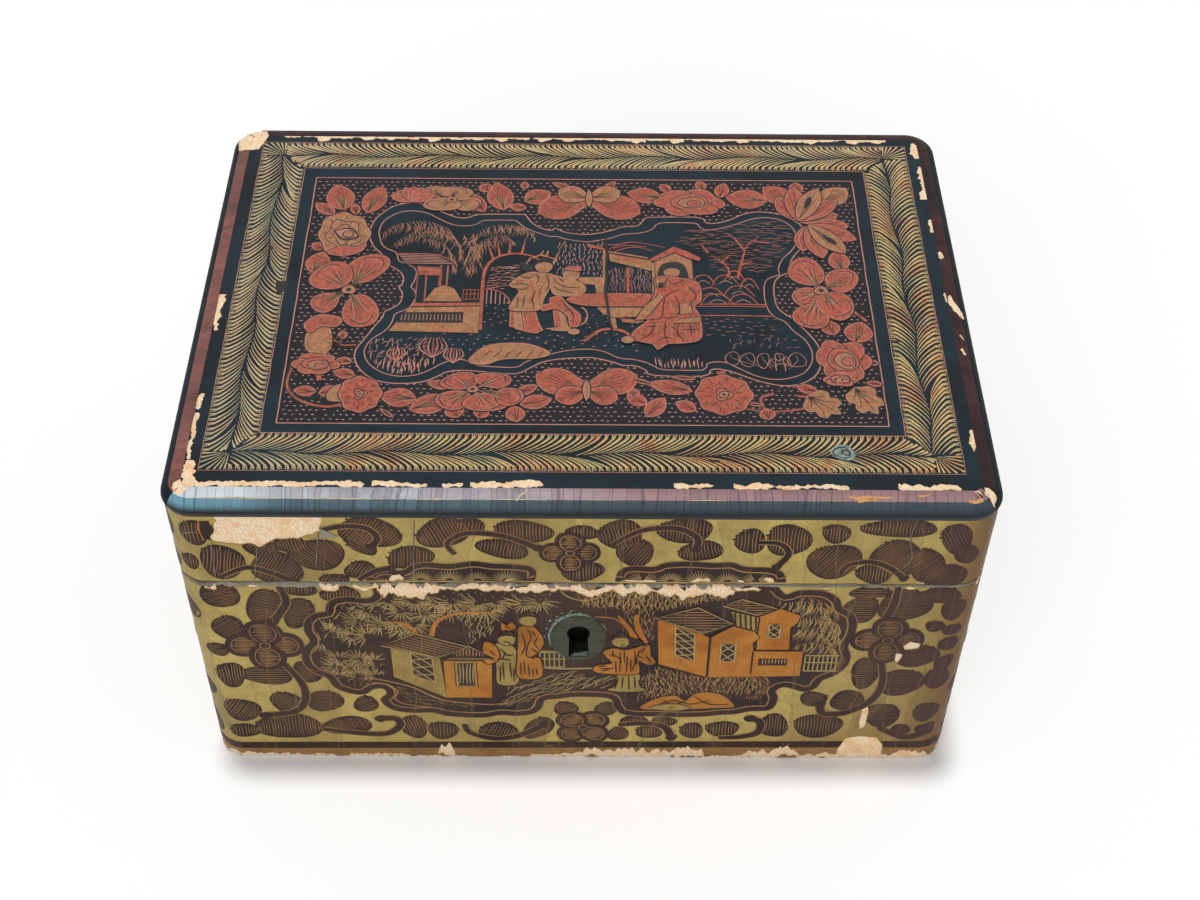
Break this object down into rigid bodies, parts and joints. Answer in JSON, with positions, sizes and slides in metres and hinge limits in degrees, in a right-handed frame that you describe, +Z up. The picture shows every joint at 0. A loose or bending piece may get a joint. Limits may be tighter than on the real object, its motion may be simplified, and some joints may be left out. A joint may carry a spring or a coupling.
{
  "type": "hinged deed box",
  "caption": "Rectangular lacquered wooden box with rounded corners, a hinged lid framed by a bead moulding, and a box lock behind an oval keyhole plate.",
  "frame": {"origin": "centre of the underside", "axes": "+X to the box's right seen from the front, -Y out of the front, +Z up"},
  "size_m": [0.241, 0.1757, 0.127],
  "materials": {
    "gold_lacquer": "old gold lacquer painted with dark leaves and flowers",
    "black_lacquer": "aged black lacquer with gold and red ornament",
    "underside_lacquer": "plain dull black lacquer",
    "bamboo": "split bamboo pins",
    "aged_brass": "darkened brass with green tarnish",
    "iron": "dark worn iron"
  },
  "bodies": {
    "base": {"base_front_board": "gold_lacquer", "base_back_board": "gold_lacquer", "base_left_board": "gold_lacquer", "base_right_board": "gold_lacquer", "base_floor": "underside_lacquer", "base_corner_pins": "bamboo", "base_floor_pins": "bamboo", "left_hinge_base_leaf": "aged_brass", "right_hinge_base_leaf": "aged_brass", "keyhole_escutcheon": "aged_brass", "lock_plate": "aged_brass", "lock_cap": "aged_brass", "base_hinge_screws": "aged_brass", "lock_screws": "aged_brass", "left_hinge_pin": "iron", "right_hinge_pin": "iron", "lock_studs": "iron", "lock_spring": "iron"},
    "lid": {"lid_front_rail": "gold_lacquer", "lid_back_rail": "gold_lacquer", "lid_left_rail": "gold_lacquer", "lid_right_rail": "gold_lacquer", "lid_front_bead": "black_lacquer", "lid_back_bead": "black_lacquer", "lid_left_bead": "black_lacquer", "lid_right_bead": "black_lacquer", "lid_top_board": "black_lacquer", "lid_corner_pins": "bamboo", "lid_top_pins": "bamboo", "left_hinge_lid_leaf": "aged_brass", "right_hinge_lid_leaf": "aged_brass", "lid_hinge_screws": "aged_brass", "link_plate": "aged_brass", "link_screws": "aged_brass"},
    "bolt": {"lock_bolt": "iron"}
  },
  "joints": [
    {"name": "lid_hinge", "type": "hinge", "parent": "base", "child": "lid", "pos_m": [0, 0.0848, 0.09115], "axis": [-1, 0, 0], "range_deg": [0, 98]},
    {"name": "bolt_throw", "type": "slide", "parent": "base", "child": "bolt", "axis": [1, 0, 0], "range_m": [0, 0.0038]}
  ]
}
